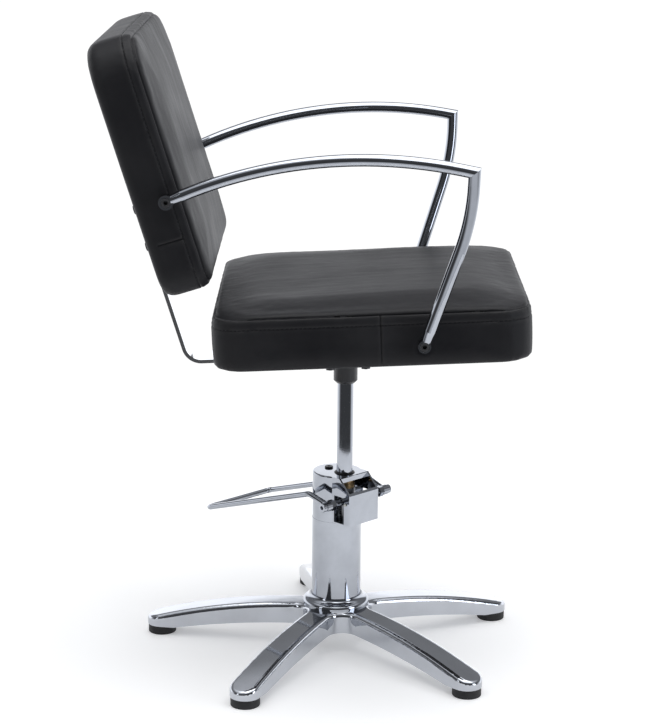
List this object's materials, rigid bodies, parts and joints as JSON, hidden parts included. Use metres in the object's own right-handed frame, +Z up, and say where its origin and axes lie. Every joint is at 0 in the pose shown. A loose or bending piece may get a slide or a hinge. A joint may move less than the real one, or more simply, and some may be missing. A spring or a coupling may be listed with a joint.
{
  "type": "styling chair",
  "caption": "Salon styling chair: padded seat and raked back on a chromed armrest frame, foot-pumped hydraulic column and polished star base.",
  "frame": {"origin": "on the pump column's axis at floor level", "axes": "+Z up; the sitter faces -Y; the sitter's right hand is on the -X side"},
  "size_m": [0.6153, 0.6274, 0.9709],
  "materials": {
    "polished_aluminium": "mirror polished casting",
    "black_rubber": "matt",
    "zinc_steel": "zinc plated",
    "chrome": "bright chrome plate",
    "cast_steel": "machined",
    "bronze": "machined",
    "seal_rubber": "smooth",
    "black_screw": "black oxide",
    "spring_steel": "bright wire",
    "black_enamel": "satin black enamel",
    "black_plastic": "matt moulded",
    "black_vinyl": "satin imitation leather",
    "lining_fabric": "non-woven",
    "timber": "raw plywood and pine"
  },
  "bodies": {
    "base": {"base_star": "polished_aluminium", "column_collar": "chrome", "column_tube": "chrome", "column_plug": "cast_steel", "base_bolts": "zinc_steel", "foot_studs": "zinc_steel", "pressure_cylinder": "cast_steel", "pump_head": "chrome", "oil_plug": "black_screw", "rod_gland": "bronze", "rod_wiper": "seal_rubber", "plunger_barrel": "zinc_steel", "pivot_pin": "zinc_steel", "foot_1": "black_rubber", "foot_2": "black_rubber", "foot_3": "black_rubber", "foot_4": "black_rubber", "foot_5": "black_rubber"},
    "pedal": {"pedal_loop": "chrome", "cross_shaft": "chrome", "rocker": "cast_steel", "shaft_nuts": "chrome", "shaft_screws": "chrome"},
    "plunger": {"pump_plunger": "zinc_steel", "plunger_spring": "spring_steel"},
    "lift": {"piston": "cast_steel", "piston_ring": "seal_rubber", "thrust_disc": "zinc_steel"},
    "seat": {"arm_bolts": "black_screw", "arm_inserts": "zinc_steel", "arm_left": "chrome", "arm_right": "chrome", "arm_washers": "black_plastic", "back_board": "timber", "back_bolts": "black_screw", "back_cushion": "black_vinyl", "back_panel": "black_vinyl", "back_rail_left": "timber", "back_rail_right": "timber", "back_spacers": "chrome", "back_strap": "chrome", "back_tnuts": "zinc_steel", "piston_rod": "chrome", "seat_board": "timber", "seat_bolts": "black_screw", "seat_cover": "lining_fabric", "seat_cushion": "black_vinyl", "seat_hub": "black_enamel", "seat_plate": "black_enamel", "seat_rail_left": "timber", "seat_rail_right": "timber", "seat_spacers": "black_enamel", "seat_tnuts": "zinc_steel", "seat_washers": "zinc_steel", "strap_bolts": "black_screw", "strap_nuts": "zinc_steel"}
  },
  "joints": [
    {"name": "seat_height", "type": "slide", "parent": "base", "child": "lift", "axis": [0, 0, 1], "range_m": [-0.125, 0.025]},
    {"name": "seat_swivel", "type": "hinge", "parent": "lift", "child": "seat", "pos_m": [-0.01131, -0.01131, 0.214], "axis": [0, 0, 1], "continuous": true},
    {"name": "pedal_pivot", "type": "hinge", "parent": "base", "child": "pedal", "pos_m": [-0.03535, -0.03535, 0.246], "axis": [-0.7071, 0.7071, 0], "range_deg": [0, 20], "stiffness_Nm_per_rad": 6, "springref_deg": -20.05},
    {"name": "plunger_stroke", "type": "slide", "parent": "base", "child": "plunger", "axis": [0, 0, -1], "range_m": [0, 0.0026], "deforming": ["plunger_spring"]}
  ],
  "couplings": [
    {"joint": "plunger_stroke", "follows": "pedal_pivot", "m_per_rad": 0.0068}
  ]
}
